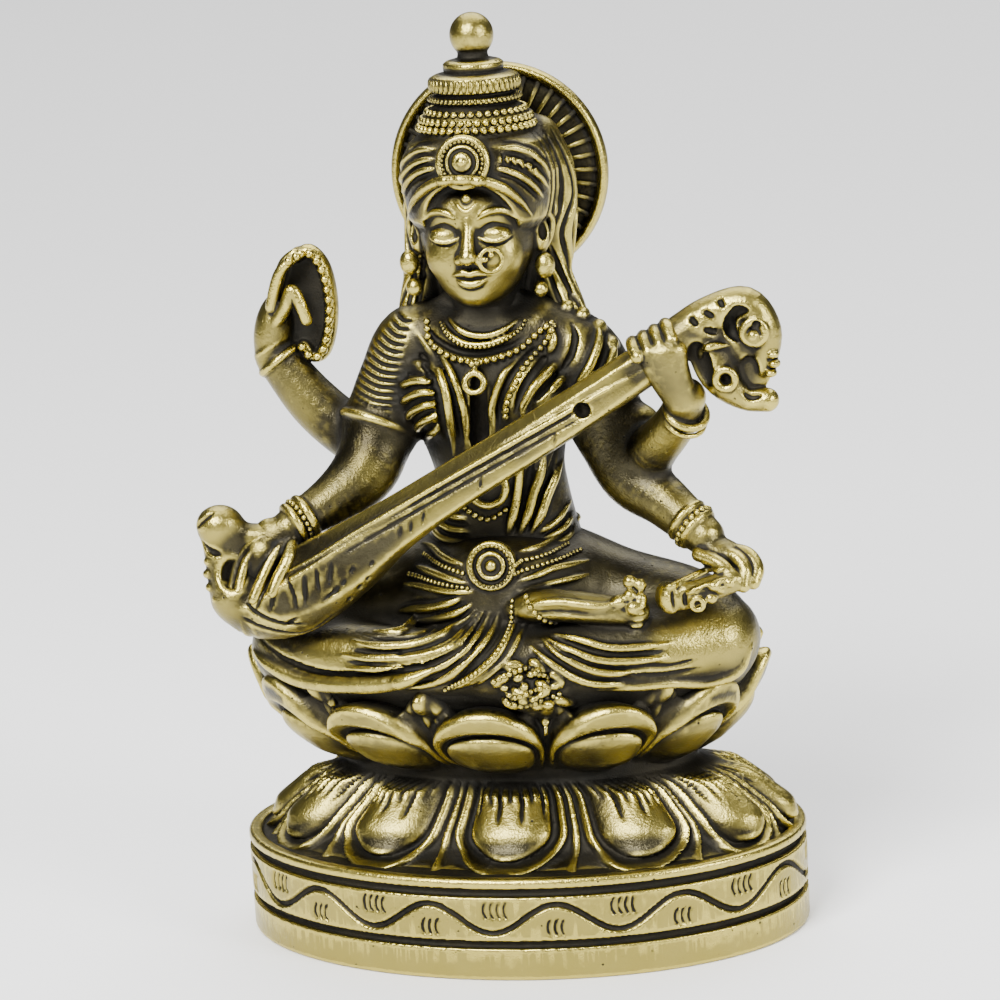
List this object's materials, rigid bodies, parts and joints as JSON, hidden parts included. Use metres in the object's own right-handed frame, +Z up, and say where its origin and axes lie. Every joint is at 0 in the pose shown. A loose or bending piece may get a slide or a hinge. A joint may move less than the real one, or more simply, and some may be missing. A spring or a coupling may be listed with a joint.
{
  "type": "saraswati figure",
  "caption": "Cast brass table figure of the goddess Saraswati seated on a double lotus with veena, prayer beads and book, on an oval plinth",
  "frame": {"origin": "centre of the oval plinth's underside, on the table", "axes": "+Z up; the figure faces -Y; +X to the viewer's right when the figure is seen from the front"},
  "size_m": [0.0652, 0.042, 0.1025],
  "materials": {
    "cast_brass": "solid cast brass, hand filed and rubbed bright on the high places, olive-gold, with grey-brown to blue-black patina left in the hollows and small casting pits"
  },
  "bodies": {
    "root": {"saraswati_figure": "cast_brass"}
  },
  "joints": []
}
